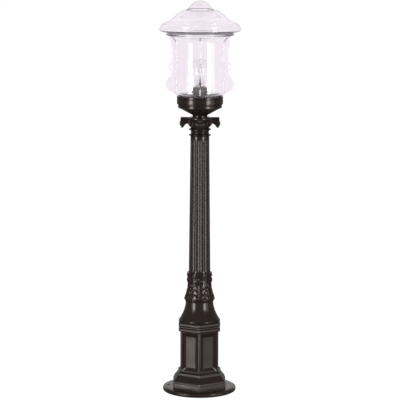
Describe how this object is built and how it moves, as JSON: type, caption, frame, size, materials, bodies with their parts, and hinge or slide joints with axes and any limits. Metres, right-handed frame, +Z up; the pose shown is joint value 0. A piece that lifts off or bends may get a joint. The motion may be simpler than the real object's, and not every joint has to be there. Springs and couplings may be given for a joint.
{
  "type": "garden bollard lamp",
  "caption": "Short post lamp: hexagonal cast pedestal, fluted column and leaf capital carrying a clear cylindrical lantern with a hat-shaped roof and scroll fins.",
  "frame": {"origin": "centre of the underside of the base flange", "axes": "+Z up the column, -Y to the front, +X to the right"},
  "size_m": [0.2539, 0.254, 1.232],
  "materials": {
    "painted_casting": "dark bronze-brown gloss paint over cast metal",
    "zinc_plated_steel": "zinc plated",
    "block_ceramic": "ivory moulding",
    "brass_parts": "plain brass",
    "cable_sheath": "black sheath",
    "holder_bakelite": "grey-brown moulded resin",
    "nickel_shell": "nickel plated sheet",
    "seal_rubber": "black rubber",
    "clear_acrylic": "clear moulding with a faint cool tint",
    "bulb_clear_glass": "clear blown glass",
    "bulb_insulator": "black glass insulator",
    "filament": "tungsten wire",
    "blackened_steel": "oil-blackened steel",
    "clear_seal": "translucent clear silicone"
  },
  "bodies": {
    "post": {"pedestal": "painted_casting", "bell_section": "painted_casting", "leaf_sleeve": "painted_casting", "column": "painted_casting", "neck_ring": "painted_casting", "capital": "painted_casting", "lamp_cup": "painted_casting", "tie_tube": "zinc_plated_steel", "lower_washer": "zinc_plated_steel", "lower_nut": "zinc_plated_steel", "upper_washer": "zinc_plated_steel", "upper_nut": "zinc_plated_steel", "terminal_bracket": "zinc_plated_steel", "bracket_screws": "zinc_plated_steel", "terminal_block": "block_ceramic", "block_screws": "zinc_plated_steel", "terminal_screws": "brass_parts", "earth_screw": "zinc_plated_steel", "earth_washer": "zinc_plated_steel", "inner_cable": "cable_sheath", "holder_bridge": "zinc_plated_steel", "bridge_screws": "zinc_plated_steel", "holder_body": "holder_bakelite", "holder_ring": "holder_bakelite", "screw_shell": "nickel_shell", "centre_contact": "brass_parts", "holder_screws": "zinc_plated_steel", "cup_gasket": "seal_rubber"},
    "lantern": {"lantern_body": "clear_acrylic", "roof_gasket": "clear_seal"},
    "roof": {"roof": "clear_acrylic", "roof_dome": "clear_acrylic"},
    "bulb": {"bulb_cap": "nickel_shell", "bulb_contact": "bulb_insulator", "bulb_glass": "bulb_clear_glass", "bulb_stem": "bulb_clear_glass", "bulb_filament": "filament"},
    "screw_front": {"set_screw_front": "blackened_steel"},
    "screw_right": {"set_screw_right": "blackened_steel"},
    "screw_left": {"set_screw_left": "blackened_steel"}
  },
  "joints": [
    {"name": "lantern_lift", "type": "slide", "parent": "post", "child": "lantern", "axis": [0, 0, 1], "range_m": [0, 0.18]},
    {"name": "roof_lift", "type": "slide", "parent": "lantern", "child": "roof", "axis": [0, 0, 1], "range_m": [0, 0.06]},
    {"name": "bulb_turn", "type": "hinge", "parent": "post", "child": "bulb", "pos_m": [0, 0, 0.95], "axis": [0, 0, 1], "continuous": true},
    {"name": "front_screw_back_out", "type": "slide", "parent": "post", "child": "screw_front", "axis": [0, -1, 0], "range_m": [0, 0.005]},
    {"name": "right_screw_back_out", "type": "slide", "parent": "post", "child": "screw_right", "axis": [0.866, 0.5, 0], "range_m": [0, 0.005]},
    {"name": "left_screw_back_out", "type": "slide", "parent": "post", "child": "screw_left", "axis": [-0.866, 0.5, 0], "range_m": [0, 0.005]}
  ]
}
